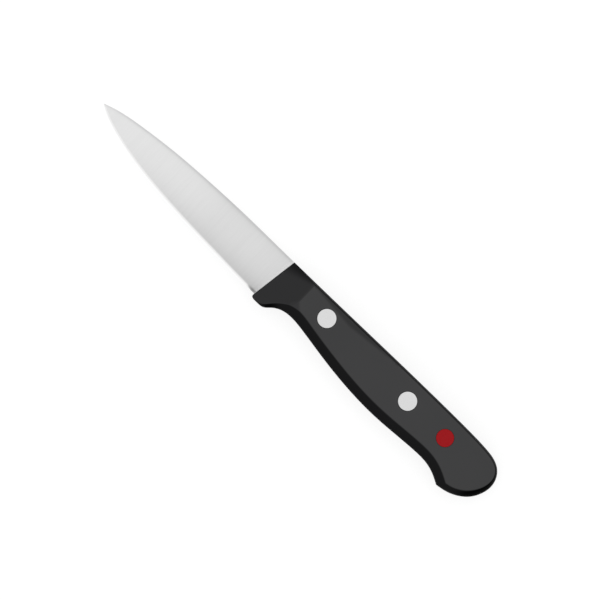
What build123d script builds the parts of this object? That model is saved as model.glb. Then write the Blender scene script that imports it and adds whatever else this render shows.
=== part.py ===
from build123d import *
import os

# A paring knife: one strip of steel is both the blade and a full tang, and two plastic
# scales are riveted to the tang. The knife lies on its right side. X runs from the tip to
# the butt, Y from the edge to the spine and Z up out of the left side, with z = 0 on the
# flat face of the right scale. The origin is under the middle of the knife's outline.
# Lengths are millimetres. Along shares run rearwards, and down shares towards the edge.

# Steel strip
blade_length = 82.7  # tip to the scales, along the spine
blade_depth = 17.1  # top of the spine to the edge at the heel
tang_thickness = 1.5
spine_thickness = 1.4  # where the blade is deepest
edge_thickness = 0.3  # left by the grinding, above the bevel
bevel_width = 0.45
edge_flat = 0.03

# Scales
handle_length = 99.0  # front of the scales at the spine to the butt
handle_depth = 21.1  # top line of the handle to the corner of the butt's hook
handle_thickness = 12.5  # over both scales and the tang
spine_step = 0.2  # top line of the handle below the top of the blade's spine
belly_round = 3.15  # how far the belly's rounding reaches onto the flat face
back_round = 0.66  # the same along the spine; it is wider round the butt
ramp_length = 10.1  # front taper, from the flat face to the scales' front at the spine
ramp_drop = 2.95
corner_width = 5.6  # rounding of the face towards the spine, at the scales' front
corner_drop = 1.2
roll_width = 3.8  # the same rounding along the flat face, where it is widest
roll_drop = 0.72
roll_middle = 28.0  # from the scales' front to where it is widest
roll_length = 56.0  # from the scales' front to where it has faded out
polish_radius = 0.3

# Rivets: a socket half from the left and a stud half pressed into it from the right
head_radius = 3.2
head_height = 1.6
tube_radius = 2.0
stud_radius = 1.35
end_gap = 0.6  # free depth past the end of the tube, and past the end of the stud
socket_floor = 0.8  # solid metal between the socket's head and its bore
hole_clearance = 0.05  # radial, round heads and tubes
press_clearance = 0.01  # radial, round the stud

# Coloured inlay in the left scale
dot_radius = 3.0
dot_thickness = 0.9
dot_clearance = 0.02  # radial

# One overrun serves all cuts
overrun = 1.0

# Faces that meet at less than this many degrees count as one smooth face
smooth_angle = 12.0

# Places worked out from the sizes above
overall_length = blade_length + handle_length
overall_depth = handle_depth + spine_step
tip_x = -overall_length / 2
handle_front_x = tip_x + blade_length
spine_top_y = overall_depth / 2
handle_top_y = spine_top_y - spine_step
middle_z = handle_thickness / 2
scale_thickness = (handle_thickness - tang_thickness) / 2
tang_top_z = middle_z + tang_thickness / 2

# Outline of the blade, from the tip to the heel, as shares of its length and depth.
# The first and last places of each lie past the tip and under the scales. The third
# number is how much of the bevel's width is there: it runs out just before the scales.
spine_shares = (
    (-0.024, 0.380), (0.0, 0.3374), (0.0262, 0.2945), (0.0947, 0.2121), (0.2025, 0.1341),
    (0.3465, 0.0636), (0.5278, 0.0198), (0.7464, 0.0), (0.965, 0.0106), (1.0375, 0.0127),
)
edge_shares = (
    (-0.012, 0.279, 1.0), (0.0, 0.3374, 1.0), (0.0262, 0.4224, 1.0), (0.0957, 0.5586, 1.0),
    (0.2004, 0.6916, 1.0), (0.3435, 0.808, 1.0), (0.5228, 0.8947, 1.0), (0.7303, 0.952, 1.0),
    (0.8662, 0.9832, 1.0), (0.9216, 0.9926, 1.0), (0.9498, 0.996, 0.04), (1.0375, 1.002, 0.0),
)

# Outline of the handle, as shares of its length and depth. The third number is how much
# of the rounding is reached there. The back runs from the front corner along the spine
# and round the butt to the hook, and the belly from the hook round the beak to the heel.
back_shares = (
    (0.0, 0.0, 1.0), (0.178, 0.004, 1.0), (0.501, 0.004, 1.0), (0.7028, 0.011, 1.0),
    (0.8241, 0.023, 1.0), (0.9046, 0.045, 1.0), (0.9458, 0.082, 1.0), (0.9742, 0.156, 0.95),
    (0.9906, 0.252, 1.25), (1.0, 0.4337, 2.1), (0.9911, 0.617, 2.7), (0.9697, 0.777, 3.1),
    (0.9384, 0.893, 3.1), (0.9011, 0.967, 3.2), (0.8615, 1.0, 3.2),
)
belly_shares = (
    (0.8615, 1.0, 0.96), (0.8261, 0.913, 0.96), (0.7873, 0.859, 0.98), (0.7267, 0.847, 1.0),
    (0.6263, 0.873, 1.0), (0.5448, 0.888, 1.0), (0.4245, 0.864, 1.0), (0.3042, 0.795, 1.0),
    (0.185, 0.700, 1.0), (0.1247, 0.666, 1.05), (0.0848, 0.684, 1.03), (0.0494, 0.771, 1.04),
    (0.0259, 0.858, 1.0), (-0.0039, 0.871, 0.15), (-0.0187, 0.865, 0.1), (-0.025, 0.847, 0.05),
    (-0.0262, 0.815, 0.02), (-0.0246, 0.777, 0.0),
)

# Heights of the scales' sections above the tang. The rounding follows their square.
level_shares = (0.0, 0.25, 0.5, 0.75, 1.0)

# How much of the face's rounding there is where the flat face starts, and where it fades out
roll_start_share = 0.4
roll_end_share = 0.1

# Middles of the rivets and of the inlay, as shares of the handle's length and depth
front_rivet_shares = (0.2088, 0.290)
rear_rivet_shares = (0.5973, 0.355)
dot_shares = (0.7738, 0.368)


def blade_point(along_share, down_share):
    return Vector(tip_x + along_share * blade_length, spine_top_y - down_share * blade_depth)


def handle_point(along_share, down_share):
    return Vector(handle_front_x + along_share * handle_length, handle_top_y - down_share * handle_depth)


def inward(start, end):
    """The direction into the handle, square to a run that goes clockwise round it."""
    run = (end - start).normalized()
    return Vector(run.Y, -run.X)


def drawn_in(points, reaches):
    """The points between a stretch's two ends, each moved inwards by its reach."""
    moved = []
    for i in range(1, len(points) - 1):
        moved.append(points[i] + inward(points[i - 1], points[i + 1]) * reaches[i])
    return moved


def drawn_in_corner(before, corner, after, before_reach, after_reach):
    """Where two sides meet once each has moved inwards by its reach."""
    a = inward(before, corner)
    b = inward(corner, after)
    turn = a.X * b.Y - a.Y * b.X
    shift = Vector(before_reach * b.Y - after_reach * a.Y, after_reach * a.X - before_reach * b.X)
    return corner + shift / turn


def draw_handle_outline(round_share):
    """The closed outline of the handle, drawn in by this share of its roundings."""
    back = [handle_point(along, down) for along, down, reach in back_shares]
    belly = [handle_point(along, down) for along, down, reach in belly_shares]
    back_reaches = [back_round * round_share * reach for along, down, reach in back_shares]
    belly_reaches = [belly_round * round_share * reach for along, down, reach in belly_shares]
    heel = belly[-1]
    front_corner = drawn_in_corner(heel, back[0], back[1], 0.0, back_reaches[0])
    hook = drawn_in_corner(back[-2], back[-1], belly[1], back_reaches[-1], belly_reaches[0])
    Spline(front_corner, *drawn_in(back, back_reaches), hook)
    Spline(hook, *drawn_in(belly, belly_reaches), heel)
    Line(heel, front_corner)


def is_crease(edge, part):
    """Whether two faces of the part meet at an angle along the edge."""
    sides = [face for face in part.faces() if edge in face.edges()]
    a, b = [face.normal_at(edge @ 0.5) for face in sides]
    return a.get_angle(b) > smooth_angle


rivet_points = {"front": handle_point(*front_rivet_shares), "rear": handle_point(*rear_rivet_shares)}
dot_point = handle_point(*dot_shares)

# Blade and tang: the blade is a wedge, ground at one angle above the whole edge
grind_slope = (spine_thickness - edge_thickness) / blade_depth
edge_points = [blade_point(along, down) for along, down, bevel in edge_shares]
spine_points = [blade_point(along, down) for along, down in spine_shares]
stock_top_y = spine_top_y + overrun

with BuildPart() as blade_and_tang:
    for point in edge_points:
        top_thickness = edge_thickness + grind_slope * (stock_top_y - point.Y)
        with BuildSketch(Plane.YZ.offset(point.X)):
            with BuildLine():
                Polyline(
                    (point.Y, middle_z - edge_thickness / 2),
                    (point.Y, middle_z + edge_thickness / 2),
                    (stock_top_y, middle_z + top_thickness / 2),
                    (stock_top_y, middle_z - top_thickness / 2),
                    close=True,
                )
            make_face()
    loft()

    # The spine's curve, cut down to the tip
    with BuildSketch(Plane.XY):
        with BuildLine():
            Spline(*spine_points)
            Polyline(
                spine_points[-1],
                (spine_points[-1].X, stock_top_y + overrun),
                (spine_points[0].X, stock_top_y + overrun),
                spine_points[0],
            )
        make_face()
    extrude(amount=handle_thickness, mode=Mode.SUBTRACT)

    # The bevels that make the cutting edge, one on each side
    for side in (1, -1):
        for i, (along, down, width_share) in enumerate(edge_shares[:-1]):
            run = edge_points[i + 1] - edge_points[max(i - 1, 0)]
            bevel_height = width_share * bevel_width * run.length / run.X
            bevel_depth = (edge_thickness + grind_slope * bevel_height - edge_flat) / 2
            edge = Vector(edge_points[i].Y, middle_z + side * edge_flat / 2)
            rise = Vector(bevel_height, side * bevel_depth)
            low = edge - rise
            high = edge + rise * 2
            with BuildSketch(Plane.YZ.offset(edge_points[i].X)):
                with BuildLine():
                    Polyline(low, high, (low.X, high.Y), close=True)
                make_face()
        loft(mode=Mode.SUBTRACT)

    # The tang, under the scales
    with BuildSketch(Plane.XY.offset(middle_z - tang_thickness / 2)):
        with BuildLine():
            draw_handle_outline(0.0)
        make_face()
    extrude(amount=tang_thickness)
    for point in rivet_points.values():
        with Locations(point + Vector(0, 0, tang_top_z)):
            Hole(tube_radius + hole_clearance)

# Scale blank: a slab with a rounded belly and back, tapered at the front
ramp_slope = ramp_drop / ramp_length

with BuildPart() as scale_blank:
    for level_share in level_shares:
        with BuildSketch(Plane.XY.offset(tang_top_z + level_share * scale_thickness)):
            with BuildLine():
                draw_handle_outline(level_share ** 2)
            make_face()
    loft()

    # The front taper, which starts square to the spine
    ramp_start_x = handle_front_x + ramp_length
    ramp_end_x = handle_front_x - ramp_length
    with BuildSketch(Plane.XZ):
        with BuildLine():
            Polyline(
                (ramp_start_x, handle_thickness),
                (ramp_end_x, handle_thickness - ramp_slope * (ramp_start_x - ramp_end_x)),
                (ramp_end_x, handle_thickness + overrun),
                (ramp_start_x, handle_thickness + overrun),
                close=True,
            )
        make_face()
    extrude(amount=overall_depth, both=True, mode=Mode.SUBTRACT)

    # The face rounds over towards the spine, steepest at the front
    roll_sections = (
        (-overrun, corner_width, corner_drop),
        (ramp_length, roll_width * roll_start_share, roll_drop * roll_start_share),
        (roll_middle, roll_width, roll_drop),
        (roll_length, roll_width * roll_end_share, roll_drop * roll_end_share),
    )
    for along, width, drop in roll_sections:
        face_z = handle_thickness - ramp_slope * max(ramp_length - along, 0)
        start = (handle_top_y - width, face_z)
        end = (handle_top_y, face_z - drop)
        with BuildSketch(Plane.YZ.offset(handle_front_x + along)):
            with BuildLine():
                TangentArc(start, end, tangent=(1, 0))
                Polyline(
                    end,
                    (handle_top_y + overrun, face_z - drop),
                    (handle_top_y + overrun, face_z + overrun),
                    (handle_top_y - width, face_z + overrun),
                    start,
                )
            make_face()
    loft(ruled=True, mode=Mode.SUBTRACT)

    # The creases round the flat face and along the spine are polished over
    creases = []
    for edge in scale_blank.edges():
        low = edge.bounding_box().min
        above_tang = low.Z > tang_top_z + polish_radius
        behind_front = low.X > handle_front_x - polish_radius
        if above_tang and behind_front and is_crease(edge, scale_blank.part):
            creases.append(edge)
    fillet(creases, radius=polish_radius)

# Left scale, with the sockets' holes and the inlay's seat
with BuildPart() as left_scale:
    add(scale_blank.part)
    for point in rivet_points.values():
        with Locations(point + Vector(0, 0, handle_thickness)):
            CounterBoreHole(tube_radius + hole_clearance, head_radius + hole_clearance, head_height)
    with Locations(dot_point + Vector(0, 0, handle_thickness)):
        Hole(dot_radius + dot_clearance, depth=dot_thickness)

# Right scale, the mirror image of the left, with the studs' holes
with BuildPart() as right_scale:
    mirror(scale_blank.part, about=Plane.XY.offset(middle_z))
    for point in rivet_points.values():
        with Locations(Plane(origin=point, z_dir=(0, 0, -1))):
            CounterBoreHole(tube_radius + hole_clearance, head_radius + hole_clearance, head_height)

# Rivets: each socket's tube passes through the tang, and takes the stud with a press fit
sockets = {}
studs = {}
tube_end_z = head_height + end_gap
bore_end_z = handle_thickness - head_height - socket_floor
stud_end_z = bore_end_z - end_gap

for place, point in rivet_points.items():
    with BuildPart() as socket:
        with Locations(point + Vector(0, 0, handle_thickness)):
            Cylinder(head_radius, head_height, align=(Align.CENTER, Align.CENTER, Align.MAX))
        with Locations(point + Vector(0, 0, tube_end_z)):
            Cylinder(
                tube_radius,
                handle_thickness - head_height - tube_end_z,
                align=(Align.CENTER, Align.CENTER, Align.MIN),
            )
        with Locations(Plane(origin=point + Vector(0, 0, tube_end_z), z_dir=(0, 0, -1))):
            Hole(stud_radius + press_clearance, depth=bore_end_z - tube_end_z)
    sockets[place] = socket

    with BuildPart() as stud:
        with Locations(point):
            Cylinder(head_radius, head_height, align=(Align.CENTER, Align.CENTER, Align.MIN))
            Cylinder(stud_radius, stud_end_z, align=(Align.CENTER, Align.CENTER, Align.MIN))
    studs[place] = stud

# Coloured inlay, flush with the left scale's flat face
with BuildPart() as colour_dot:
    with Locations(dot_point + Vector(0, 0, handle_thickness)):
        Cylinder(dot_radius, dot_thickness, align=(Align.CENTER, Align.CENTER, Align.MAX))

# Names and files
nodes = {
    "blade_and_tang": blade_and_tang,
    "left_scale": left_scale,
    "right_scale": right_scale,
    "colour_dot": colour_dot,
}
for place in rivet_points:
    nodes[place + "_rivet_socket"] = sockets[place]
    nodes[place + "_rivet_stud"] = studs[place]

os.makedirs("parts", exist_ok=True)
for name, node in nodes.items():
    node.part.label = name
    export_step(node.part, f"parts/{name}.step")
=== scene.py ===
import bmesh
import bpy
import numpy as np
from math import cos, degrees, exp, hypot, pi, radians, sin, sqrt, tan
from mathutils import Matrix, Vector
from mathutils.geometry import delaunay_2d_cdt


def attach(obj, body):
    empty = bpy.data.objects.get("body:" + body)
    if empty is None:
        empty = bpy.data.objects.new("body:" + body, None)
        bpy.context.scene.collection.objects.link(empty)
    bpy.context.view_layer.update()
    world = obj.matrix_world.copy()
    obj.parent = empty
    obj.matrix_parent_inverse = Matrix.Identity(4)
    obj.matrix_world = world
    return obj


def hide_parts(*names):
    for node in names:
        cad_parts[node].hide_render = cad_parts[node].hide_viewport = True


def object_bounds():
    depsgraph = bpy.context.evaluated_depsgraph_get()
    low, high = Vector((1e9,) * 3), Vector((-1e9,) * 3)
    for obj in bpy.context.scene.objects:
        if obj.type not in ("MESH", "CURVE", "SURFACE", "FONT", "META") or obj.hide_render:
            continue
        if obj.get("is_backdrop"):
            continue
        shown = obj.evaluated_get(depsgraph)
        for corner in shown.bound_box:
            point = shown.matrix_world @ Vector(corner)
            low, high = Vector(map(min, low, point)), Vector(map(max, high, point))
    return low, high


# A paring knife that lies on its right side. X runs from the tip to the butt, Y from the
# edge to the spine and Z up out of the left side. Sizes are millimetres until a mesh is made.
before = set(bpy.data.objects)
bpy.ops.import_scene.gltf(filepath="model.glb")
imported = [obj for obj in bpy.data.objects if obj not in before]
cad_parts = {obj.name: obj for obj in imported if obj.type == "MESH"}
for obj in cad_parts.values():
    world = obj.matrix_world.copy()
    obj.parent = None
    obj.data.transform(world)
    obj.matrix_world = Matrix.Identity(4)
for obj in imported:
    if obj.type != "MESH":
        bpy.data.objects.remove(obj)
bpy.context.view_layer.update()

# Blade and tang
# One strip of stainless steel, stamped to its outline. The blade is ground to a wedge on a
# wide belt, which leaves fine lines across it, and a narrow bevel is honed along the edge.
# The tang keeps its full thickness and shows as a bright line between the two scales.
blade_length = 82.7
blade_depth = 17.1
tang_thickness = 1.5
spine_thickness = 1.4
edge_thickness = 0.3
edge_flat = 0.03
bevel_width = 0.45
handle_length = 99.0
handle_depth = 21.1
handle_thickness = 12.5
spine_step = 0.2

tip_x = -(blade_length + handle_length) / 2
handle_front_x = tip_x + blade_length
spine_top_y = (handle_depth + spine_step) / 2
handle_top_y = spine_top_y - spine_step
middle_z = handle_thickness / 2
tang_top_z = middle_z + tang_thickness / 2

# The outlines. Most of the numbers in these four tables came out of scripts that traced and
# fitted the outline in the photo, and were not chosen by hand as they should have been.
# Along and down, as shares of the blade's length and depth, and the share of the bevel's width
spine_shares = (
    (-0.024, 0.380), (0.0, 0.3374), (0.0262, 0.2945), (0.0947, 0.2121), (0.2025, 0.1341),
    (0.3465, 0.0636), (0.5278, 0.0198), (0.7464, 0.0), (0.965, 0.0106), (1.0375, 0.0127),
)
edge_shares = (
    (-0.012, 0.279, 1.0), (0.0, 0.3374, 1.0), (0.0262, 0.4224, 1.0), (0.0957, 0.5586, 1.0),
    (0.2004, 0.6916, 1.0), (0.3435, 0.808, 1.0), (0.5228, 0.8947, 1.0), (0.7303, 0.952, 1.0),
    (0.8662, 0.9832, 1.0), (0.9216, 0.9926, 1.0), (0.9498, 0.996, 0.04), (1.0375, 1.002, 0.0),
)

# The handle's outline, as shares of its length and depth, and of its rounding's reach: first
# the back, from the front corner along the spine and round the butt to the hook, and then the
# belly, from the hook round the beak to the heel
back_shares = (
    (0.0, 0.0, 1.0), (0.178, 0.004, 1.0), (0.501, 0.004, 1.0), (0.7028, 0.011, 1.0),
    (0.8241, 0.023, 1.0), (0.9046, 0.045, 1.0), (0.9458, 0.082, 1.0), (0.9742, 0.156, 0.95),
    (0.9906, 0.252, 1.25), (1.0, 0.4337, 2.1), (0.9911, 0.617, 2.7), (0.9697, 0.777, 3.1),
    (0.9384, 0.893, 3.1), (0.9011, 0.967, 3.2), (0.8615, 1.0, 3.2),
)
belly_shares = (
    (0.8615, 1.0, 0.96), (0.8261, 0.913, 0.96), (0.7873, 0.859, 0.98), (0.7267, 0.847, 1.0),
    (0.6263, 0.873, 1.0), (0.5448, 0.888, 1.0), (0.4245, 0.864, 1.0), (0.3042, 0.795, 1.0),
    (0.185, 0.700, 1.0), (0.1247, 0.666, 1.05), (0.0848, 0.684, 1.03), (0.0494, 0.771, 1.04),
    (0.0259, 0.858, 1.0), (-0.0039, 0.871, 0.15), (-0.0187, 0.865, 0.1), (-0.025, 0.847, 0.05),
    (-0.0262, 0.815, 0.02), (-0.0246, 0.777, 0.0),
)
back_round = 0.66
belly_round = 3.15
corner_soft = 0.3
handle_steps = 12
front_steps = 21


def handle_point(along, down):
    return np.array((handle_front_x + along * handle_length, handle_top_y - down * handle_depth))


def smooth_line(points, steps):
    """Places on the smooth curve through these points, so many between each two."""
    points = np.array(points, float)
    gaps = np.linalg.norm(np.diff(points, axis=0), axis=1)
    sums = np.eye(len(points))
    turns = np.zeros_like(points)
    for i in range(1, len(gaps)):
        sums[i, i - 1:i + 2] = gaps[i - 1], 2 * (gaps[i - 1] + gaps[i]), gaps[i]
        turns[i] = 6 * ((points[i + 1] - points[i]) / gaps[i] - (points[i] - points[i - 1]) / gaps[i - 1])
    bends = np.linalg.solve(sums, turns)
    line = []
    for i, gap in enumerate(gaps):
        for share in np.arange(steps) / steps:
            rest = 1 - share
            bent = (rest ** 3 - rest) * bends[i] + (share ** 3 - share) * bends[i + 1]
            line.append(rest * points[i] + share * points[i + 1] + bent * gap * gap / 6)
    line.append(points[-1])
    return np.array(line)


def metres(value):
    return value * 0.001


def turn_faces_out(mesh, merge=0.0):
    """Point the faces outwards, after places nearer than merge have become one."""
    shell = bmesh.new()
    shell.from_mesh(mesh)
    if merge:
        bmesh.ops.remove_doubles(shell, verts=shell.verts, dist=merge)
    bmesh.ops.recalc_face_normals(shell, faces=shell.faces)
    shell.to_mesh(mesh)
    shell.free()


def finished_mesh(piece):
    """A plain mesh of what the modifiers make of the piece."""
    bpy.context.view_layer.update()
    return bpy.data.meshes.new_from_object(piece.evaluated_get(bpy.context.evaluated_depsgraph_get()))


def new_piece(name, points, faces, smooth=35, marks=None):
    """An object in metres from points in millimetres, with creases sharper than smooth degrees."""
    mesh = bpy.data.meshes.new(name)
    mesh.from_pydata([tuple(metres(c) for c in point) for point in points], [], faces)
    for mark, values in (marks or {}).items():
        mesh.attributes.new(mark, "FLOAT", "POINT").data.foreach_set("value", values)
    turn_faces_out(mesh, merge=1e-7)
    mesh.shade_smooth()
    mesh.set_sharp_from_angle(angle=radians(smooth))
    piece = bpy.data.objects.new(name, mesh)
    bpy.context.scene.collection.objects.link(piece)
    return piece


def band(low, high, count):
    """Four-sided faces between two rings of places, by the numbers of their first places."""
    return [(low + i, low + (i + 1) % count, high + (i + 1) % count, high + i) for i in range(count)]


class Out:
    """A node's output. Sums written with it add Math nodes."""

    def __init__(self, graph, socket):
        self.graph, self.socket = graph, socket

    def math(self, operation, *values):
        return self.graph.node("ShaderNodeMath", {"operation": operation}, dict(enumerate(values)))

    def __add__(self, other):
        return self.math("ADD", self, other)

    def __radd__(self, other):
        return self.math("ADD", other, self)

    def __sub__(self, other):
        return self.math("SUBTRACT", self, other)

    def __rsub__(self, other):
        return self.math("SUBTRACT", other, self)

    def __mul__(self, other):
        return self.math("MULTIPLY", self, other)

    def __rmul__(self, other):
        return self.math("MULTIPLY", other, self)

    def __truediv__(self, other):
        return self.math("DIVIDE", self, other)

    def __rtruediv__(self, other):
        return self.math("DIVIDE", other, self)


class Graph:
    """The nodes of a material, of the world or of a mesh that is built by nodes."""

    def __init__(self, tree):
        self.tree = tree
        tree.nodes.clear()

    def node(self, kind, settings=None, sockets=None, output=0):
        node = self.tree.nodes.new(kind)
        for name, value in (settings or {}).items():
            if name == "stops":
                while len(node.color_ramp.elements) < len(value):
                    node.color_ramp.elements.new(0.5)
                for stop, (place, colour) in zip(node.color_ramp.elements, value):
                    stop.position, stop.color = place, colour
            else:
                setattr(node, name, value)
        for name, value in (sockets or {}).items():
            if isinstance(value, Out):
                self.tree.links.new(value.socket, node.inputs[name])
            else:
                node.inputs[name].default_value = value
        return Out(self, node.outputs[output]) if len(node.outputs) else node

    def ramp(self, value, low, high, start=0.0, end=1.0):
        """Start up to the value low, end from the value high, and a smooth rise between."""
        limits = {0: value, 1: low, 2: high, 3: start, 4: end}
        return self.node("ShaderNodeMapRange", {"interpolation_type": "SMOOTHSTEP"}, limits)

    def noise(self, scales, detail=2.0, place=(0, 0, 0), turn=0.0):
        """Even noise from 0 to 1, with so many grains to a metre along X, Y and Z."""
        where = self.node("ShaderNodeTexCoord", output="Object")
        spread = {"Vector": where, "Location": place, "Rotation": (0, 0, turn), "Scale": scales}
        where = self.node("ShaderNodeMapping", {"vector_type": "POINT"}, spread)
        return self.node("ShaderNodeTexNoise", {}, {"Vector": where, "Scale": 1.0, "Detail": detail})

    def colour(self, share, first, second):
        """The first colour where the share is 0, the second where it is 1."""
        return self.node("ShaderNodeMix", {"data_type": "RGBA"}, {0: share, 6: first, 7: second}, 2)


def new_finish(name, build):
    """A material whose surface is what build returns."""
    finish = bpy.data.materials.new(name)
    finish.use_nodes = True
    graph = Graph(finish.node_tree)
    surface = build(graph)
    graph.node("ShaderNodeOutputMaterial", {}, {"Surface": surface})
    return finish


def satin_steel(graph):
    belt_lines = graph.noise((9000, 160, 900), detail=3.0)
    wide_lines = graph.noise((1500, 40, 200), detail=2.0, place=(0.3, 0.1, 0))
    mottle = graph.noise((90, 60, 60), detail=2.0)
    # The tone attribute holds the steel's painted reflections and painted shades along with its own tone
    tone = graph.node("ShaderNodeAttribute", {"attribute_name": "tone"}, {}, "Fac")
    honed = graph.node("ShaderNodeAttribute", {"attribute_name": "honed"}, {}, "Fac")
    lines = (belt_lines - 0.5) * 0.07 + (wide_lines - 0.5) * 0.04 + (mottle - 0.5) * 0.02
    colour = graph.colour(tone + lines * (1 - honed), (0, 0, 0, 1), (1, 1, 1, 1))
    rough = (0.34 + (belt_lines - 0.5) * 0.16) * (1 - honed) + honed * 0.2
    height = belt_lines * 0.7 + wide_lines * 0.3
    bump = graph.node("ShaderNodeBump", {}, {"Height": height, "Strength": 0.25, "Distance": 0.00002})
    return graph.node(
        "ShaderNodeBsdfPrincipled",
        {},
        {"Base Color": colour, "Metallic": 1.0, "Roughness": rough, "Normal": bump},
    )


def blade_place(along, down):
    return tip_x + along * blade_length, spine_top_y - down * blade_depth


blade_steps = 24
spine_line = smooth_line([blade_place(along, down) for along, down in spine_shares], blade_steps)
edge_line = smooth_line([blade_place(along, down) for along, down, bevel in edge_shares], blade_steps)
bevel_places = [tip_x + along * blade_length for along, down, bevel in edge_shares]
bevel_parts = [bevel for along, down, bevel in edge_shares]

# How light the ground steel is painted, as seen from its side: along share, middle of the blade, how much
# darker it is just above the bevel, and how far the shade under the spine reaches. These and the shades
# below are painted reflections and painted shades, tuned to the tones in the photo, so they hold some of
# its light.
steel_tones = np.array((
    (0.0, 0.765, 0.0, 0.35), (0.18, 0.775, 0.02, 0.35), (0.33, 0.765, 0.055, 0.42),
    (0.50, 0.755, 0.10, 0.5), (0.68, 0.71, 0.115, 0.62), (0.87, 0.697, 0.135, 0.42),
    (1.0, 0.69, 0.19, 0.42),
))
# A painted highlight along the honed bevel, partly its own brighter finish, a painted lighter band just
# above it, and the lightest painted tone
edge_tone = 0.98
bevel_top_tone = 0.86
above_bevel_tone = 0.84
lightest_tone = 0.95
tang_tone = 0.60

# Painted shades and a painted lighter band above the bevel, and the places where they start, in
# millimetres from the edge or the spine
low_shade_start, low_shade_reach = 1.35, 3.5
above_bevel_reach = 0.5
spine_shade, spine_shade_start = 0.15, 0.35
rear_shade, rear_shade_reach = 0.05, 1.8
corner_shade = 0.16
run_out_shade, run_out_height, run_out_reach = 0.32, 0.55, 0.45

# Beside the scales, which begin on a slant from the spine to the heel, the photo is lighter, so the steel
# there gets a painted reflection
lighter_share, lighter_width = 0.45, 0.55
heel_place = handle_point(*belly_shares[-1][:2])
front_slant = (handle_front_x - heel_place[0]) / (handle_top_y - heel_place[1])


def between_rows(table, place):
    """The values at a place, between rows of a table that has the places in its first column."""
    return [np.interp(place, table[:, 0], column) for column in table[:, 1:].T]


def faded(distance, reach, power=1):
    """1 up to no distance, and less and less past it."""
    return exp(-((max(distance, 0) / reach) ** power))


def spine_darkness(along):
    """How much of the painted shade along the spine is there: little of it at the tip."""
    return min(0.3 + 5 * along, 1.0)


def spine_shine(along):
    """How much of that painted shade the spine's own corner loses, which is some near the scales, where
    it stands for a painted highlight.
    """
    return 0.6 * min(max((along - 0.65) / 0.1, 0.0), 1.0)


def side_tone(x, rise, height, edge_y, bevel_top, bevel_share):
    """How light the ground side is painted at this rise above the edge, with painted shades and
    reflections.
    """
    along = (x - tip_x) / blade_length
    middle, darker, shade_reach = between_rows(steel_tones, along)
    tone = middle - darker * faded(rise - low_shade_start, low_shade_reach)
    tone += (above_bevel_tone - tone) * max(0.0, 1 - (rise - bevel_top) / above_bevel_reach) * bevel_share
    before_scales = heel_place[0] + (edge_y + rise - heel_place[1]) * front_slant - x
    tone = min(tone * (1 + lighter_share * faded(before_scales, lighter_width, 1.5)), lightest_tone)
    tone -= run_out_shade * (1 - bevel_share) * faded(abs(rise - run_out_height), run_out_reach, 2)
    under_spine = height - rise
    shade = spine_darkness(along) * (1 - spine_shine(along) * faded(under_spine, spine_shade_start, 2))
    tone -= spine_shade * shade * faded(under_spine - spine_shade_start, shade_reach)
    return tone - rear_shade * along * faded(under_spine, rear_shade_reach)


grind_slope = (spine_thickness - edge_thickness) / blade_depth / 2
belly_of_grind = 0.05
spine_corner = 0.12
least_height = 0.02
least_bevel = 0.01
slant_run = 0.1
full_height = 10
low_rows = np.array((0.0, 0.1, 0.25, 0.45, 0.7, 1.1, 1.7))
high_rows = np.array((2.8, 2.0, 1.4, 1.0, 0.7, 0.45, 0.25, 0.1, 0.0))
between_count = 7


def blade_ring(x):
    """Places round the blade at x, each with the painted light and shade of the steel there and how honed
    it is.
    """
    edge_y = np.interp(x, edge_line[:, 0], edge_line[:, 1])
    spine_y = np.interp(x, spine_line[:, 0], spine_line[:, 1])
    height = max(spine_y - edge_y, least_height)
    slant = (np.interp(x + slant_run, edge_line[:, 0], edge_line[:, 1]) - edge_y) / slant_run
    bevel_share = np.interp(x, bevel_places, bevel_parts)
    bevel = min(max(bevel_width * bevel_share * hypot(1, slant), least_bevel), height * 0.3)
    bevel_top = bevel + min(0.03, height * 0.01)
    corner = min(spine_corner, height * 0.2)
    top_height = height - corner
    along = (x - tip_x) / blade_length
    middle = between_rows(steel_tones, along)[0]

    # The honed bevel, its tone partly its own brighter honed finish and partly a painted highlight
    low_tone = edge_tone * bevel_share + middle * (1 - bevel_share)
    high_tone = bevel_top_tone * bevel_share + middle * (1 - bevel_share)
    section = [
        (0.0, edge_flat / 2, low_tone, bevel_share),
        (bevel, edge_thickness / 2 + grind_slope * bevel, high_tone, bevel_share),
    ]

    # The ground side, with rows close together near the bevel and near the spine
    lows = bevel_top + low_rows * min(1, height / full_height)
    highs = top_height - high_rows * min(1, height / full_height)
    for rise in np.concatenate((lows, np.linspace(lows[-1], highs[0], between_count)[1:-1], highs)):
        row = (rise - bevel_top) / max(top_height - bevel_top, 1e-6)
        swell = belly_of_grind * 4 * row * (1 - row) * min(height / blade_depth, 1)
        tone = side_tone(x, rise, height, edge_y, bevel_top, bevel_share)
        section.append((rise, edge_thickness / 2 + grind_slope * rise + swell, tone, 0.0))

    # The spine's rounded corner, with a painted shade on it
    half = edge_thickness / 2 + grind_slope * top_height
    rounding = min(corner, half * 0.8)
    tone = middle - corner_shade * spine_darkness(along) * (1 - spine_shine(along))
    for angle in (30, 60, 90):
        turn = radians(angle)
        section.append((top_height + corner * sin(turn), half - rounding * (1 - cos(turn)), tone, 0.0))

    left = [(x, edge_y + rise, middle_z + half, *finish) for rise, half, *finish in section]
    right = [(x, edge_y + rise, middle_z - half, *finish) for rise, half, *finish in reversed(section)]
    return left + right


# Stations along the blade, close together at the tip and again beside the scales
blade_end_x = tip_x + 1.025 * blade_length
fine_start_x = -13
stations = tip_x + (blade_end_x - tip_x) * (np.linspace(0, 1, 150) ** 1.35)
fine_stations = np.arange(fine_start_x, blade_end_x, 0.3)
stations = np.concatenate((stations[stations < fine_start_x], fine_stations, [blade_end_x]))

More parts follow.
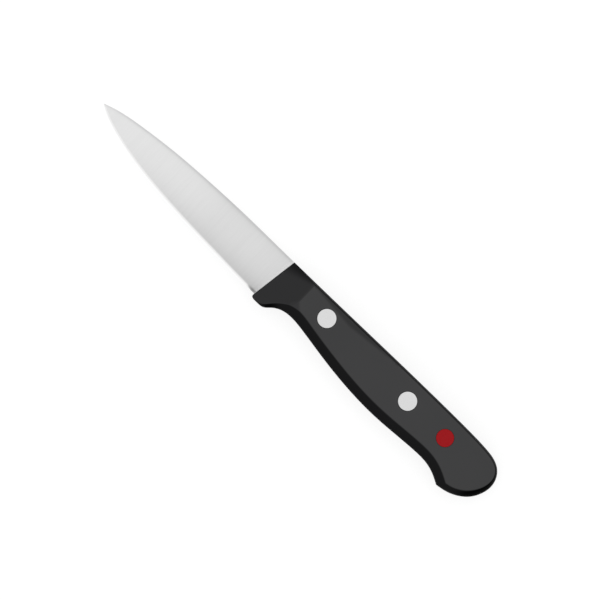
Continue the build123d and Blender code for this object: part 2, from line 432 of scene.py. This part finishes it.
blade_rings = [blade_ring(x) for x in stations]
ring_count = len(blade_rings[0])
blade_points = [point[:3] for ring in blade_rings for point in ring]
blade_marks = {
    "tone": [point[3] for ring in blade_rings for point in ring],
    "honed": [point[4] for ring in blade_rings for point in ring],
}
blade_faces = []
for i in range(len(stations) - 1):
    blade_faces += band(i * ring_count, (i + 1) * ring_count, ring_count)
blade_faces.append(tuple(range(ring_count)))
blade_faces.append(tuple(range(len(blade_points) - ring_count, len(blade_points))))
blade = new_piece("blade", blade_points, blade_faces, marks=blade_marks)


def inward(start, end):
    """The direction into the handle, square to a run that goes clockwise round it."""
    run = (end - start) / np.linalg.norm(end - start)
    return np.array((run[1], -run[0]))


def drawn_in_corner(before, corner, after, before_reach, after_reach):
    """Where two sides meet once each has moved inwards by its reach."""
    a, b = inward(before, corner), inward(corner, after)
    turn = a[0] * b[1] - a[1] * b[0]
    shift = (before_reach * b[1] - after_reach * a[1], after_reach * a[0] - before_reach * b[0])
    return corner + np.array(shift) / turn


def on_bend(start, corner, end, share):
    """The place at this share of a soft bend from start to end, drawn towards the corner."""
    return start * (1 - share) ** 2 + corner * 2 * share * (1 - share) + end * share * share


def softened(before, corner, after, radius):
    """A corner rubbed down to a few places on a small arc."""
    most_of_side = 0.45
    start = corner + (before - corner) * min(radius / np.linalg.norm(before - corner), most_of_side)
    end = corner + (after - corner) * min(radius / np.linalg.norm(after - corner), most_of_side)
    return [on_bend(start, corner, end, share) for share in (0, 0.25, 0.5, 0.75, 1)]


def handle_outline(round_share):
    """Places round the handle, clockwise, drawn in by this share of its roundings."""
    back = [handle_point(along, down) for along, down, reach in back_shares]
    belly = [handle_point(along, down) for along, down, reach in belly_shares]
    back_reaches = [back_round * round_share * reach for along, down, reach in back_shares]
    belly_reaches = [belly_round * round_share * reach for along, down, reach in belly_shares]
    lines = []
    for points, reaches in ((back, back_reaches), (belly, belly_reaches)):
        between = range(1, len(points) - 1)
        lines.append([points[i] + inward(points[i - 1], points[i + 1]) * reaches[i] for i in between])
    heel = belly[-1]
    front = drawn_in_corner(heel, back[0], back[1], 0.0, back_reaches[0])
    hook = drawn_in_corner(back[-2], back[-1], belly[1], back_reaches[-1], belly_reaches[0])
    spine_side = smooth_line([front] + lines[0] + [hook], handle_steps)
    edge_side = smooth_line([hook] + lines[1] + [heel], handle_steps)
    rise = [heel + (front - heel) * t for t in np.linspace(0, 1, front_steps)]
    places = softened(rise[-2], front, spine_side[1], corner_soft) + list(spine_side[1:-1])
    places += softened(spine_side[-2], hook, edge_side[1], corner_soft) + list(edge_side[1:-1])
    places += softened(edge_side[-2], heel, rise[1], corner_soft) + rise[1:-1]
    return np.array(places)


def hole_ring(centre, radius, sides):
    turns = [2 * pi * i / sides for i in range(sides)]
    return [centre + radius * np.array((cos(turn), sin(turn))) for turn in turns]


def filled(outline, holes, inner=()):
    """Triangles over a flat outline less its round holes: the places, and three places a triangle.

    The outline's places come first, then each hole's, and then the inner ones."""
    places = [Vector(p) for p in outline]
    edges = [(i, (i + 1) % len(outline)) for i in range(len(outline))]
    for centre, radius, sides in holes:
        first = len(places)
        places += [Vector(p) for p in hole_ring(centre, radius, sides)]
        edges += [(first + i, first + (i + 1) % sides) for i in range(sides)]
    rim = len(places)
    places += [Vector(p) for p in inner]
    found, _, triangles, origins, _, _ = delaunay_2d_cdt(places, edges, [], 1, 1e-6)
    names = {}
    extra = []
    for i, origin in enumerate(origins):
        rims = [o for o in origin if o < rim]
        if rims:
            names[i] = rims[0]
        else:
            names[i] = rim + len(extra)
            extra.append(np.array(found[i]))
    kept = []
    for triangle in triangles:
        middle = np.mean([np.array(found[i]) for i in triangle], axis=0)
        if all(np.linalg.norm(middle - c) > r * 0.999 * cos(pi / s) for c, r, s in holes):
            kept.append(tuple(names[i] for i in triangle))
    return extra, kept


rivet_places = [handle_point(0.2088, 0.290), handle_point(0.5973, 0.355)]
tube_hole_radius = 2.05
tang_hole_sides = 48
seam_chamfer = 0.03
tang_inset = 0.04


def shrunk(outline, amount):
    """The outline moved inwards by a small amount."""
    ahead, behind = np.roll(outline, -1, axis=0), np.roll(outline, 1, axis=0)
    return np.array([p + inward(b, a) * amount for p, a, b in zip(outline, ahead, behind)])


# The tang: its chamfered rim, its two flat sides and its rivet holes
tang_foot_z = middle_z - tang_thickness / 2
tang_outline = handle_outline(0.0)
around = len(tang_outline)
tang_levels = [
    (tang_foot_z, tang_inset + seam_chamfer), (tang_foot_z + seam_chamfer, tang_inset),
    (tang_top_z - seam_chamfer, tang_inset), (tang_top_z, tang_inset + seam_chamfer),
]
tang_points, tang_faces = [], []
for z, amount in tang_levels:
    tang_points += [(p[0], p[1], z) for p in shrunk(tang_outline, amount)]
for level in range(len(tang_levels) - 1):
    tang_faces += band(level * around, (level + 1) * around, around)
holes = [(place, tube_hole_radius, tang_hole_sides) for place in rivet_places]
extra, triangles = filled(shrunk(tang_outline, tang_inset + seam_chamfer), holes)
hole_starts = []
for z, first in ((tang_foot_z, 0), (tang_top_z, (len(tang_levels) - 1) * around)):
    start = len(tang_points)
    hole_starts.append(start)
    for place, radius, sides in holes:
        tang_points += [(p[0], p[1], z) for p in hole_ring(place, radius, sides)]
    for triangle in triangles:
        tang_faces.append(tuple(first + i if i < around else start + i - around for i in triangle))
for hole in range(len(holes)):
    low, high = [start + hole * tang_hole_sides for start in hole_starts]
    tang_faces += band(low, high, tang_hole_sides)
tang_marks = {"tone": [tang_tone] * len(tang_points), "honed": [0.0] * len(tang_points)}
tang = new_piece("tang", tang_points, tang_faces, marks=tang_marks)

# Blade and tang become one strip
union = blade.modifiers.new("one_strip", "BOOLEAN")
union.operation, union.solver, union.object = "UNION", "EXACT", tang
strip = finished_mesh(blade)
blade.modifiers.clear()
blade.data = strip
bpy.data.objects.remove(tang)
blade.name = "blade_steel_strip"
blade.data.materials.clear()
blade.data.materials.append(new_finish("blade_satin_steel", satin_steel))
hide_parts("blade_and_tang")
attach(blade, "root")

# Left scale
# One of two moulded slabs of hard black plastic, with a fine matt face. Its edges are
# rounded and polished, and its front is tapered. Two stepped holes take the rivets, and a
# shallow round seat takes the coloured dot.
ramp_length = 10.1
ramp_drop = 2.95
ramp_blend = 0.4
polish_radius = 0.3
soft_polish_radius = 0.9
gentle_and_sharp_turns = (45, 70)
head_hole_radius = 3.25
head_depth = 1.6
dot_place = handle_point(0.7738, 0.368)
dot_hole_radius = 3.02
dot_depth = 0.9
head_hole_flare = 0.06
dot_hole_flare = 0.05
hole_sides = 64
lip_levels = ((0.015, 0.02), (0.0, 0.07))

# The face's roll towards the spine: at the scale's corner, where it is widest, and as shares of
# that where the flat face starts and where the roll fades out
corner_start, corner_width, corner_drop = -1.0, 5.6, 1.2
roll_middle, roll_width, roll_drop = 28.0, 3.8, 0.72
roll_start_share, roll_end_share = 0.4, 0.1
roll_length = 56.0

# Distance from the scale's front, width and drop
roll_sections = np.array((
    (corner_start, corner_width, corner_drop),
    (ramp_length, roll_width * roll_start_share, roll_drop * roll_start_share),
    (roll_middle, roll_width, roll_drop),
    (roll_length, roll_width * roll_end_share, roll_drop * roll_end_share),
))

# Where the mesh has its rows and places
wall_levels = (0.08, 0.2, 0.35, 0.5, 0.65, 0.8, 0.92, 1.0)
lowest_share = 0.012
crease_shares = (0.2, 0.4, 0.6, 0.8, 1.0)
step_down_share = 0.06
step_in = 0.2
rim_width = 0.08
grid_step = 0.62
row_step = grid_step * 0.87
front_margin, butt_margin = 6, 1
crease_columns = (-0.4, -0.2, 0.0, 0.2, 0.4)
crease_step = 0.3
crease_clear = 0.55
rim_clear = 0.3
hole_clear = 0.25
hole_collar = 0.1
loop_reach = 16

# At the belly the taper turns into a small facet of its own
facet_along, facet_down = 0.7, 0.715
facet_y = 2.3
facet_slope = 0.13


def eased_in(past):
    """0 up to a crease and the distance past it, with the crease itself rounded over."""
    if past > ramp_blend:
        return past
    return max(past + ramp_blend, 0.0) ** 2 / (4 * ramp_blend)


def face_height(x, y):
    """The height of the scale's outer face: flat, tapered at the front, rolled over at the spine."""
    past = handle_front_x + ramp_length - x
    past_corner = facet_along * past + facet_down * (facet_y - y)
    fall = max(eased_in(past) * ramp_drop / ramp_length, eased_in(past_corner) * facet_slope)
    level = handle_thickness - fall
    width, drop = between_rows(roll_sections, x - handle_front_x)
    over = y - (handle_top_y - width)
    if over > 0:
        radius = (width ** 2 + drop ** 2) / (2 * drop)
        level -= radius - sqrt(max(radius ** 2 - over ** 2, 0.0))
    return level


def inside(points, outline):
    """Which of the points lie within the outline, and how far each is from it."""
    a, b = outline, np.roll(outline, -1, axis=0)
    x, y = points[:, 0:1], points[:, 1:2]
    spans = (a[:, 1] > y) != (b[:, 1] > y)
    with np.errstate(divide="ignore", invalid="ignore"):
        crossings = (b[:, 0] - a[:, 0]) * (y - a[:, 1]) / (b[:, 1] - a[:, 1]) + a[:, 0]
    within = (spans & (x < crossings)).sum(axis=1) % 2 == 1
    away = np.sqrt(((points[:, None, :] - outline[None, :, :]) ** 2).sum(axis=2)).min(axis=1)
    return within, away


def unfolded(places):
    """The places round a line, each small loop where it crosses itself drawn together to a point."""
    places = places.copy()
    count = len(places)
    for i in range(count):
        for gap in range(2, loop_reach):
            a, b = places[i], places[(i + 1) % count]
            c, d = places[(i + gap) % count], places[(i + gap + 1) % count]
            ab, cd, ac = b - a, d - c, c - a
            turn = ab[0] * cd[1] - ab[1] * cd[0]
            if abs(turn) < 1e-12:
                continue
            along = (ac[0] * cd[1] - ac[1] * cd[0]) / turn
            back = (ac[0] * ab[1] - ac[1] * ab[0]) / turn
            if 0 < along < 1 and 0 < back < 1:
                for k in range(i + 1, i + gap + 1):
                    places[k % count] = a + ab * along
    return places


wall_shares = np.linspace(0, 1, 41)
scale_thickness = handle_thickness - tang_top_z
handle_walls = np.array([handle_outline(share ** 2) for share in wall_shares])


def wall_place(i, share):
    """A place on the scale's wall: its number round the outline, and its share of the thickness."""
    x = np.interp(share, wall_shares, handle_walls[:, i, 0])
    y = np.interp(share, wall_shares, handle_walls[:, i, 1])
    return np.array((x, y, tang_top_z + share * scale_thickness))


def crown_share(i):
    """The share of the thickness at which the wall meets the outer face."""
    places = zip(tang_top_z + wall_shares * scale_thickness, handle_walls[:, i])
    over = [z - face_height(*place) for z, place in places]
    k = next((k for k in range(1, len(over)) if over[k] >= 0), len(over) - 1)
    part = 1.0 if over[k] == over[k - 1] else min(max(-over[k - 1] / (over[k] - over[k - 1]), 0.0), 1.0)
    return (k - 1 + part) / (len(over) - 1)


def wall_rows():
    """Rows of places up the wall, over its polished crease and a little way onto the outer face."""
    crown_shares = [crown_share(i) for i in range(around)]
    crowns = [wall_place(i, share) for i, share in enumerate(crown_shares)]
    columns = []
    for i, crown in enumerate(crowns):
        n = inward(crowns[i - 1][:2], crowns[(i + 1) % around][:2])
        down = wall_place(i, crown_shares[i] - step_down_share) - crown
        down /= np.linalg.norm(down)
        x, y = crown[:2] + n * step_in
        across = np.array((x, y, face_height(x, y))) - crown
        across /= np.linalg.norm(across)
        turn = pi - np.arccos(np.clip(down @ across, -1, 1))
        radius = np.interp(degrees(turn), gentle_and_sharp_turns, (soft_polish_radius, polish_radius))
        reach = radius * tan(turn / 2)
        start = crown + down * reach
        end = crown + across * reach
        end[2] = face_height(*end[:2])

        foot = wall_place(i, 0.0)
        foot[:2] += n * seam_chamfer
        rise = wall_place(i, 0.0)
        rise[2] += seam_chamfer
        start_share = (start[2] - tang_top_z) / scale_thickness
        column = [foot, rise]
        column += [wall_place(i, max(level * start_share, lowest_share)) for level in wall_levels]
        column += [on_bend(start, crown, end, share) for share in crease_shares]
        flat = end[:2] + n * rim_width
        column.append(np.array((flat[0], flat[1], face_height(*flat))))
        columns.append(column)
    rows = [list(row) for row in zip(*columns)]
    rim = unfolded(np.array([place[:2] for place in rows[-1]]))
    rows[-1] = [np.array((x, y, face_height(x, y))) for x, y in rim]
    return rows, rim


def face_places(rim, holes):
    """Places over the outer face, closest where the taper starts, clear of its rim and holes."""
    grid = []
    butt_x = handle_front_x + handle_length
    for row, y in enumerate(np.arange(-handle_depth / 2, handle_depth / 2, row_step)):
        for x in np.arange(handle_front_x - front_margin, butt_x + butt_margin, grid_step):
            grid.append((x + (row % 2) * grid_step / 2, y))
    ramp_x = handle_front_x + ramp_length
    grid = [place for place in grid if abs(place[0] - ramp_x) > crease_clear]
    for side in crease_columns:
        grid += [(ramp_x + side, y) for y in np.arange(-handle_depth / 2, handle_depth / 2, crease_step)]
    grid = np.array(grid)
    within, away = inside(grid, rim)
    keep = within & (away > rim_clear)
    for centre, radius, sides in holes:
        keep &= np.linalg.norm(grid - centre, axis=1) > radius + hole_clear
    round_holes = [p for c, r, s in holes for p in hole_ring(c, r + hole_collar, s)]
    return list(grid[keep]) + round_holes


def scale_shell(with_dot_seat):
    """Points and faces of a left-hand scale."""
    rows, rim = wall_rows()
    points = [tuple(place) for row in rows for place in row]
    faces = []
    for r in range(len(rows) - 1):
        faces += band(r * around, (r + 1) * around, around)

    # The outer face
    holes = [(place, head_hole_radius + head_hole_flare, hole_sides) for place in rivet_places]
    if with_dot_seat:
        holes.append((dot_place, dot_hole_radius + dot_hole_flare, hole_sides))
    extra, triangles = filled(rim, holes, face_places(rim, holes))
    top = (len(rows) - 1) * around
    start = len(points)
    for centre, radius, sides in holes:
        points += [(x, y, face_height(x, y)) for x, y in hole_ring(centre, radius, sides)]
    points += [(x, y, face_height(x, y)) for x, y in extra]
    for triangle in triangles:
        faces.append(tuple(top + i if i < around else start + i - around for i in triangle))

    # Down the walls of the holes, past a small chamfer
    foot_starts = []
    for h, (centre, radius, sides) in enumerate(holes):
        is_dot = with_dot_seat and h == len(holes) - 1
        lip = dot_hole_radius if is_dot else head_hole_radius
        floor_z = handle_thickness - (dot_depth if is_dot else head_depth)
        levels = [(lip + wider, handle_thickness - deeper) for wider, deeper in lip_levels]
        levels.append((lip, floor_z))
        if not is_dot:
            levels += [(tube_hole_radius, floor_z), (tube_hole_radius, tang_top_z)]
        last = start + h * hole_sides
        for r, z in levels:
            here = len(points)
            points += [(x, y, z) for x, y in hole_ring(centre, r, sides)]
            faces += band(last, here, sides)
            last = here
        if is_dot:
            faces.append(tuple(last + i for i in range(sides)))
        else:
            foot_starts.append(last)

    # The inner face, which lies on the tang
    foot_rim = np.array([place[:2] for place in rows[0]])
    foot_holes = [(place, tube_hole_radius, hole_sides) for place in rivet_places]
    extra, triangles = filled(foot_rim, foot_holes)
    for triangle in triangles:
        corners = []
        for i in triangle:
            hole, side = divmod(i - around, hole_sides)
            corners.append(i if i < around else foot_starts[hole] + side)
        faces.append(tuple(corners))
    return points, faces


# The plastic's own black on its sides, a painted shade for the walls facing the butt, and a painted sheen
# for the flat faces
side_black = (0.011, 0.011, 0.0115, 1)
butt_painted_shade = (0.0012, 0.0012, 0.0014, 1)
face_painted_sheen = (0.033, 0.033, 0.034, 1)


def black_plastic(graph):
    """Matt black with a thin coat. Its flat and tapered faces carry a painted sheen, and its sides are
    darker by the way they face, a painted shade that is darkest towards the butt, as in the photo. Its
    own gloss is turned off, because a white room would lift the black above the photo's."""
    grain = graph.noise((5200, 5200, 5200), detail=3.0)
    cloud = graph.noise((60, 60, 60), detail=3.0, place=(0.2, 0.5, 0.1))
    facing = graph.node("ShaderNodeTexCoord", output="Normal")
    facing_butt = graph.node("ShaderNodeSeparateXYZ", {}, {0: facing}, 0)
    upright = graph.node("ShaderNodeSeparateXYZ", {}, {0: facing}, 2)
    upright = graph.node("ShaderNodeMath", {"operation": "ABSOLUTE"}, {0: upright})
    tilt = graph.node("ShaderNodeMath", {"operation": "ARCCOSINE", "use_clamp": False}, {0: upright})
    ground = 1 - graph.ramp(tilt, radians(1), radians(10))
    eased = 1 - graph.ramp(tilt, radians(12), radians(28))
    fleck = (grain - 0.5) * 0.5 + (cloud - 0.5) * 0.25
    # Painted shade on the walls that face the butt, and a painted sheen on the flat and tapered faces,
    # mixed with the grain
    to_butt = graph.ramp(facing_butt, 0.3, 0.6) * (1 - eased)
    share = ground * (0.45 + fleck * 0.35) + eased * (0.53 + fleck * 0.1)
    dark = graph.colour(to_butt, side_black, butt_painted_shade)
    colour = graph.colour(share, dark, face_painted_sheen)
    polished = graph.ramp(tilt, radians(85), radians(90))
    coat = share * 0.5 + polished * 0.5
    rough = 0.28 + ground * (0.20 + fleck * 0.12)
    relief = {"Height": grain * ground, "Strength": 0.35, "Distance": 0.00003}
    bump = graph.node("ShaderNodeBump", {}, relief)
    return graph.node(
        "ShaderNodeBsdfPrincipled",
        {},
        {"Base Color": colour, "Roughness": rough, "Normal": bump, "Specular IOR Level": 0.001,
         "Coat Weight": coat, "Coat Roughness": 0.3},
    )


plastic_finish = new_finish("handle_black_plastic", black_plastic)


def moulded(name, points, faces):
    """A piece of the black plastic, shaded evenly over its flat faces."""
    piece = new_piece(name, points, faces, smooth=30)
    piece.data.materials.append(plastic_finish)
    fair = piece.modifiers.new("fair_normals", "WEIGHTED_NORMAL")
    fair.keep_sharp = True
    return piece


left = moulded("left_scale_slab", *scale_shell(True))
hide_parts("left_scale")
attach(left, "root")

# Right scale
# The mirror image of the left one, moulded of the same plastic with no seat for a dot. The
# knife lies on it.
scale_points, scale_faces = scale_shell(False)
scale_points = [(x, y, handle_thickness - z) for x, y, z in scale_points]
right = moulded("right_scale_slab", scale_points, scale_faces)
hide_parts("right_scale")
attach(right, "root")

# Rivets
# Two compression rivets of stainless steel. Each is a socket half, whose tube goes through
# the tang from the left, and a stud half, which is pressed into it from the right. The
# heads are ground flush with the scales, so they keep fine straight lines.
head_radius = 3.2
tube_radius = 2.0
stud_radius = 1.35
end_gap = 0.6
socket_floor = 0.8
head_edge = 0.1
head_crown = 0.02
rivet_sides = 72
rivet_crease = 40


dull_steel = (0.60, 0.60, 0.60, 1)
bright_steel = (0.79, 0.79, 0.79, 1)


def rivet_steel(graph):
    lines = graph.noise((700, 9000, 700), detail=3.0, turn=0.5)
    cloud = graph.noise((220, 220, 220), detail=2.0)
    tone = 0.5 + (lines - 0.5) * 0.28 + (cloud - 0.5) * 0.14
    colour = graph.colour(tone, dull_steel, bright_steel)
    rough = 0.30 + (lines - 0.5) * 0.14
    bump = graph.node("ShaderNodeBump", {}, {"Height": lines, "Strength": 0.2, "Distance": 0.00002})
    return graph.node(
        "ShaderNodeBsdfPrincipled",
        {},
        {"Base Color": colour, "Metallic": 1.0, "Roughness": rough, "Normal": bump},
    )


rivet_finish = new_finish("rivet_ground_steel", rivet_steel)


def turned_halves(name, sizes, places, upside_down):
    """Both rivets' halves of one kind: a profile turned on its axis and set at each place."""
    tree = bpy.data.node_groups.new(name, "GeometryNodeTree")
    graph = Graph(tree)
    values = {}
    for size, value in sizes.items():
        values[size] = tree.interface.new_socket(size, in_out="INPUT", socket_type="NodeSocketFloat")
    for place in places:
        values[place] = tree.interface.new_socket(place, in_out="INPUT", socket_type="NodeSocketVector")
    tree.interface.new_socket("Mesh", in_out="OUTPUT", socket_type="NodeSocketGeometry")
    entry = tree.nodes.new("NodeGroupInput")
    given = {size: Out(graph, entry.outputs[size]) for size in values}

    top, radius, depth = given["Top"], given["Head radius"], given["Head depth"]
    edge, crown, shank = given["Head edge"], given["Head crown"], given["Shank radius"]
    # Across and high: the faintly domed head, its rounded rim, the shank and the bore in it
    profile = (
        (0.0, top), (radius * 0.5, top - crown * 0.25), (radius - edge * 1.6, top - crown * 0.8),
        (radius - edge, top - crown), (radius - edge * 0.3, top - crown - edge * 0.3),
        (radius, top - crown - edge), (radius, top - depth), (shank, top - depth),
        (shank, given["Shank end"] + edge), (shank - edge, given["Shank end"]),
        (given["Bore radius"], given["Shank end"]), (given["Bore radius"], given["Bore end"]),
        (0.0, given["Bore end"]),
    )
    grid = graph.node(
        "GeometryNodeMeshGrid", {}, {"Vertices X": len(profile), "Vertices Y": rivet_sides + 1}
    )
    index = graph.node("GeometryNodeInputIndex")
    ring = graph.node("ShaderNodeMath", {"operation": "FLOOR"}, {0: index / (rivet_sides + 1) + 0.001})
    angle = (index - ring * (rivet_sides + 1)) * (2 * pi / rivet_sides)
    switch = tree.nodes.new("GeometryNodeIndexSwitch")
    switch.data_type = "VECTOR"
    while len(switch.index_switch_items) < len(profile):
        switch.index_switch_items.new()
    tree.links.new(ring.socket, switch.inputs["Index"])
    for i, (across, high) in enumerate(profile):
        corner = graph.node("ShaderNodeCombineXYZ", {}, {"X": across, "Z": high})
        tree.links.new(corner.socket, switch.inputs[i + 1])
    flat_place = Out(graph, switch.outputs[0])
    turned = graph.node(
        "ShaderNodeVectorRotate", {"rotation_type": "Z_AXIS"}, {"Vector": flat_place, "Angle": angle}
    )
    lathe = graph.node("GeometryNodeSetPosition", {}, {"Geometry": grid, "Position": turned})
    lathe = graph.node("GeometryNodeMergeByDistance", {}, {"Geometry": lathe, "Distance": 1e-7})
    crease = graph.node("GeometryNodeInputMeshEdgeAngle", {}, {}, 0)
    is_crease = graph.node(
        "FunctionNodeCompare", {"operation": "GREATER_THAN"}, {0: crease, 1: radians(rivet_crease)}
    )
    lathe = graph.node("GeometryNodeSetShadeSmooth", {"domain": "FACE"}, {"Geometry": lathe})
    lathe = graph.node(
        "GeometryNodeSetShadeSmooth", {"domain": "EDGE"},
        {"Geometry": lathe, "Selection": is_crease, "Shade Smooth": False},
    )
    points = graph.node(
        "GeometryNodeMeshLine", {"mode": "END_POINTS"},
        {"Count": 2, "Start Location": given["Front place"], "Offset": given["Rear place"]},
    )
    turn = (pi if upside_down else 0.0, 0.0, 0.0)
    setting = {"Points": points, "Instance": lathe, "Rotation": turn}
    copies = graph.node("GeometryNodeInstanceOnPoints", {}, setting)
    copies = graph.node("GeometryNodeRealizeInstances", {}, {"Geometry": copies})
    copies = graph.node("GeometryNodeSetMaterial", {}, {"Geometry": copies, "Material": rivet_finish})
    graph.node("NodeGroupOutput", {}, {"Mesh": copies})

    piece = bpy.data.objects.new(name, bpy.data.meshes.new(name))
    bpy.context.scene.collection.objects.link(piece)
    modifier = piece.modifiers.new(name, "NODES")
    modifier.node_group = tree
    for size, value in {**sizes, **places}.items():
        modifier[values[size].identifier] = value
    mesh = finished_mesh(piece)
    piece.modifiers.clear()
    piece.data = mesh
    turn_faces_out(mesh)
    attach(piece, "root")
    return piece


rivet_feet = {
    "Front place": metres(Vector((*rivet_places[0], 0))),
    "Rear place": metres(Vector((*rivet_places[1], 0))),
}
bore_end = handle_thickness - head_depth - socket_floor
head = {
    "Head radius": metres(head_radius), "Head depth": metres(head_depth),
    "Head edge": metres(head_edge), "Head crown": metres(head_crown),
}
socket_sizes = {
    **head, "Top": metres(handle_thickness), "Shank radius": metres(tube_radius),
    "Shank end": metres(head_depth + end_gap), "Bore radius": metres(stud_radius + 0.01),
    "Bore end": metres(bore_end),
}
sockets = turned_halves("rivet_sockets", socket_sizes, rivet_feet, False)
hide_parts("front_rivet_socket", "rear_rivet_socket")

stud_sizes = {
    **head, "Top": 0.0, "Shank radius": metres(stud_radius), "Shank end": metres(end_gap - bore_end),
    "Bore radius": 0.0, "Bore end": metres(end_gap - bore_end),
}
studs = turned_halves("rivet_studs", stud_sizes, rivet_feet, True)
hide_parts("front_rivet_stud", "rear_rivet_stud")

# Coloured dot
# A small disc of glossy red plastic, glued into its seat in the left scale. Its face is
# a little domed and its rim is rounded.
dot_radius = 3.0
dot_dome = 0.03
dot_rim = 0.08
dot_sides = 72
deep_red = (0.26, 0.003, 0.005, 1)
light_red = (0.33, 0.005, 0.008, 1)


def red_plastic(graph):
    cloud = graph.noise((900, 900, 900), detail=3.0)
    speck = graph.noise((6000, 6000, 6000), detail=2.0)
    tone = 0.5 + (cloud - 0.5) * 0.4 + (speck - 0.5) * 0.15
    colour = graph.colour(tone, deep_red, light_red)
    bump = graph.node("ShaderNodeBump", {}, {"Height": speck, "Strength": 0.15, "Distance": 0.00002})
    return graph.node(
        "ShaderNodeBsdfPrincipled",
        {},
        {"Base Color": colour, "Roughness": 0.28 + (cloud - 0.5) * 0.1, "Normal": bump,
         "Specular IOR Level": 0.1},
    )


rim_z = handle_thickness - (dot_dome + dot_rim)
dot_profile = [(dot_radius * s, handle_thickness - dot_dome * s * s) for s in (0.3, 0.6, 0.85, 0.95)]
for angle in (15, 40, 65, 90):
    turn = radians(angle)
    dot_profile.append((dot_radius - dot_rim + dot_rim * sin(turn), rim_z + dot_rim * cos(turn)))
dot_profile.append((dot_radius, handle_thickness - dot_depth))
dot_points = [(dot_place[0], dot_place[1], handle_thickness)]
for radius, z in dot_profile:
    dot_points += [(p[0], p[1], z) for p in hole_ring(dot_place, radius, dot_sides)]
dot_faces = [(0, 1 + i, 1 + (i + 1) % dot_sides) for i in range(dot_sides)]
for r in range(len(dot_profile) - 1):
    dot_faces += band(1 + r * dot_sides, 1 + (r + 1) * dot_sides, dot_sides)
dot_faces.append(tuple(1 + (len(dot_profile) - 1) * dot_sides + i for i in range(dot_sides)))
dot = new_piece("red_dot", dot_points, dot_faces, smooth=40)
dot.data.materials.append(new_finish("dot_red_plastic", red_plastic))
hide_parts("colour_dot")
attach(dot, "root")

# Floor and light
# The knife lies on a wide white table, in an even white surround. One large soft lamp stands
# on the spine's side.
reach = 3.0
table_corners = [(-reach, -reach, 0), (reach, -reach, 0), (reach, reach, 0), (-reach, reach, 0)]
table_mesh = bpy.data.meshes.new("white_table")
table_mesh.from_pydata(table_corners, [], [(0, 1, 2, 3)])
table = bpy.data.objects.new("white_table", table_mesh)
bpy.context.scene.collection.objects.link(table)


def white_paint(graph):
    """Pale paint that is white to the camera and in what the steel mirrors."""
    ways = ("Is Camera Ray", "Is Glossy Ray", "Is Transmission Ray")
    camera_ray, glossy_ray, through_ray = [graph.node("ShaderNodeLightPath", output=way) for way in ways]
    seen = graph.node("ShaderNodeMath", {"use_clamp": True}, {0: camera_ray + glossy_ray, 1: through_ray})
    pale = graph.node("ShaderNodeBsdfDiffuse", {}, {"Color": (0.25, 0.25, 0.25, 1)})
    glow = graph.node("ShaderNodeEmission", {}, {"Color": (1, 1, 1, 1), "Strength": 0.8})
    bright = graph.node("ShaderNodeAddShader", {}, {0: pale, 1: glow})
    return graph.node("ShaderNodeMixShader", {}, {0: seen, 1: pale, 2: bright})


table.data.materials.append(new_finish("white_table_paint", white_paint))
table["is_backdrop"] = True

surround = bpy.data.worlds.new("white_surround")
surround.use_nodes = True
bpy.context.scene.world = surround
air = Graph(surround.node_tree)
white = air.node("ShaderNodeBackground", {}, {"Color": (1, 1, 1, 1), "Strength": 1.0})
air.node("ShaderNodeOutputWorld", {}, {"Surface": white})

lamp = bpy.data.lights.new("soft_lamp", "AREA")
lamp.shape, lamp.size, lamp.energy = "SQUARE", 1.2, 0.6
soft_lamp = bpy.data.objects.new("soft_lamp", lamp)
bpy.context.scene.collection.objects.link(soft_lamp)
soft_lamp.location = (0.1, 0.75, 0.75)
soft_lamp.rotation_euler = (-soft_lamp.location).to_track_quat("-Z", "Y").to_euler()

# Camera
# Straight above the knife and far away, as the photo shows it square on. It is turned so that
# the tip points to the upper left.
lens = 600.0
film_width = 36.0
span = 0.200
camera_data = bpy.data.cameras.new("camera")
camera_data.lens = lens
camera_data.sensor_width = film_width
camera = bpy.data.objects.new("camera", camera_data)
bpy.context.scene.collection.objects.link(camera)
camera.location = (0.0018, 0.00262, span * lens / film_width + 0.007)
camera.rotation_euler = (0, 0, radians(43.65))
bpy.context.scene.camera = camera
bpy.context.scene.view_settings.view_transform = "Standard"

# The box round the dressed pieces
low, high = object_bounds()
